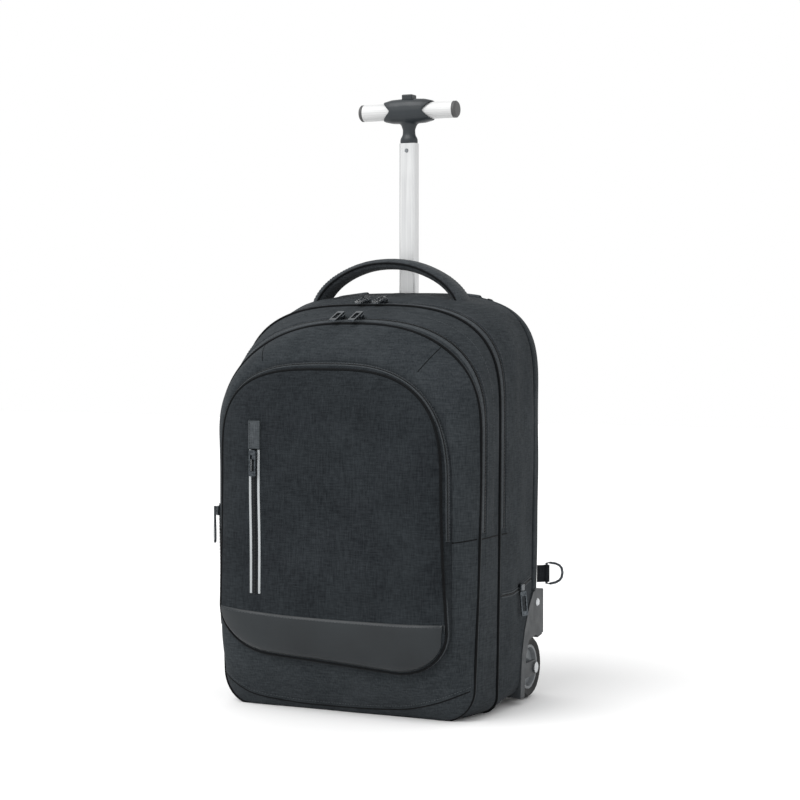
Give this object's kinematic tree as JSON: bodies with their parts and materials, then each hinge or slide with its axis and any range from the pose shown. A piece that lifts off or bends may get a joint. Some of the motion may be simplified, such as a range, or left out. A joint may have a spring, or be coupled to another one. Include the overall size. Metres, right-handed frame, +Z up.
{
  "type": "wheeled backpack",
  "caption": "Soft backpack with a domed front pocket, zipped compartments, a carry handle, corner wheels in moulded housings and a sliding T-shaped pull handle.",
  "frame": {"origin": "on the ground, under the centre of the whole pack", "axes": "+X to the pack's right as seen from its front, +Y to its back, +Z up"},
  "size_m": [0.3808, 0.2656, 0.7261],
  "materials": {
    "pocket_fabric": "dark heathered polyester weave",
    "panel_fabric": "charcoal heathered polyester weave",
    "smooth_leather": "smooth satin leather",
    "webbing": "ribbed woven webbing",
    "strap_fabric": "charcoal woven padding cover",
    "aluminium": "satin anodised",
    "satin_white": "satin white-silver",
    "handle_plastic": "moulded dark grey",
    "cap_plastic": "moulded mid grey",
    "housing_plastic": "moulded dark grey, fine texture",
    "tyre_rubber": "black rubber",
    "hub_plastic": "moulded light grey",
    "steel": "bright",
    "gunmetal": "dark gunmetal plating"
  },
  "bodies": {
    "bag": {"front_pocket": "pocket_fabric", "leather_strip": "smooth_leather", "front_zip_tab": "webbing", "front_compartment": "panel_fabric", "main_compartment": "panel_fabric", "back_wall": "panel_fabric", "rear_cover": "panel_fabric", "carry_handle": "webbing", "shoulder_strap_left": "strap_fabric", "shoulder_strap_right": "strap_fabric", "trolley_base": "housing_plastic", "trolley_outer_tube": "aluminium", "wheel_housing_left": "housing_plastic", "housing_rivet_left": "steel", "axle_left": "steel", "ring_tab_left": "webbing", "d_ring_left": "gunmetal", "wheel_housing_right": "housing_plastic", "housing_rivet_right": "steel", "axle_right": "steel", "ring_tab_right": "webbing", "d_ring_right": "gunmetal", "zip_slider_front_left": "gunmetal", "zip_pull_front_left": "gunmetal", "zip_slider_front_right": "gunmetal", "zip_pull_front_right": "gunmetal", "zip_slider_main_left": "gunmetal", "zip_pull_main_left": "gunmetal", "zip_slider_main_right": "gunmetal", "zip_pull_main_right": "gunmetal", "zip_slider_pocket_face": "gunmetal", "zip_pull_pocket_face": "gunmetal", "zip_slider_side": "gunmetal", "zip_pull_side": "gunmetal", "zip_slider_pocket_side": "gunmetal", "zip_pull_pocket_side": "gunmetal"},
    "pull_handle": {"trolley_inner_tube": "aluminium", "tube_pin": "cap_plastic", "handle_body": "handle_plastic", "grip_bar": "satin_white", "grip_cap_left": "cap_plastic", "grip_cap_right": "cap_plastic"},
    "release_button": {"release_button": "handle_plastic"},
    "wheel_left": {"tyre_left": "tyre_rubber", "wheel_hub_left": "hub_plastic"},
    "wheel_right": {"tyre_right": "tyre_rubber", "wheel_hub_right": "hub_plastic"}
  },
  "joints": [
    {"name": "handle_slide", "type": "slide", "parent": "bag", "child": "pull_handle", "axis": [0, 0, 1], "range_m": [-0.175, 0.17]},
    {"name": "button_press", "type": "slide", "parent": "pull_handle", "child": "release_button", "axis": [0, 0, -1], "range_m": [0, 0.002], "stiffness_N_per_m": 400, "springref_m": -0.001},
    {"name": "wheel_left_spin", "type": "hinge", "parent": "bag", "child": "wheel_left", "pos_m": [-0.15036, 0.0926, 0.038], "axis": [1, 0, 0], "continuous": true},
    {"name": "wheel_right_spin", "type": "hinge", "parent": "bag", "child": "wheel_right", "pos_m": [0.15036, 0.0926, 0.038], "axis": [1, 0, 0], "continuous": true}
  ]
}
